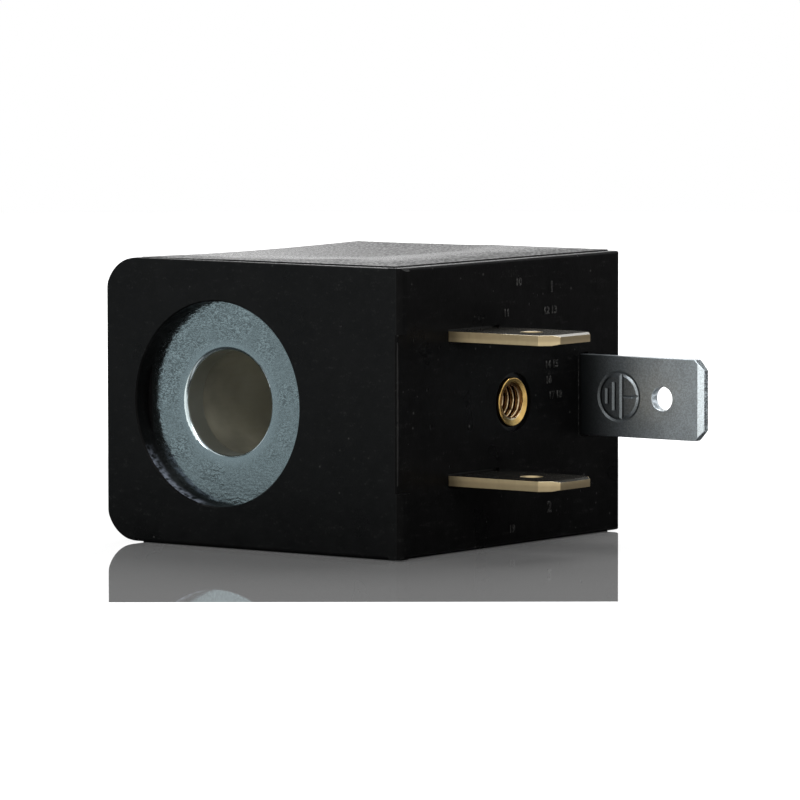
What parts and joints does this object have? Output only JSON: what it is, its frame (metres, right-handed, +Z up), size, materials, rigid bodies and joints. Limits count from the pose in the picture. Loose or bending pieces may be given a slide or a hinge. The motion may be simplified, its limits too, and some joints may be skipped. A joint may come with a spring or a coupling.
{
  "type": "solenoid valve coil",
  "caption": "Encapsulated solenoid valve coil: black moulded block with a through bore, a steel yoke seen in round recesses, and flat blades with a screw insert for a plug.",
  "frame": {"origin": "on the bore axis, half-way along the bore", "axes": "+Y along the bore to the rear face, +X out of the connector face, +Z up"},
  "size_m": [0.0396, 0.0294, 0.0222],
  "materials": {
    "black_moulding": "matte glass-filled moulding with a fine grain",
    "zinc_plate": "zinc-plated steel with an orange-peel sheen",
    "bobbin_resin": "satin olive-brown resin",
    "copper_wire": "enamelled copper",
    "tape": "clear yellowish film",
    "tinned_brass": "tin-plated brass with bare cut edges",
    "insert_brass": "turned brass",
    "solder": "bright solder"
  },
  "bodies": {
    "root": {"housing": "black_moulding", "yoke": "zinc_plate", "bobbin": "bobbin_resin", "winding": "copper_wire", "winding_tape": "tape", "power_terminal_1": "tinned_brass", "power_terminal_2": "tinned_brass", "earth_terminal": "zinc_plate", "earth_rivet": "zinc_plate", "threaded_insert": "insert_brass", "start_lead": "copper_wire", "finish_lead": "copper_wire", "solder_joints": "solder"}
  },
  "joints": []
}
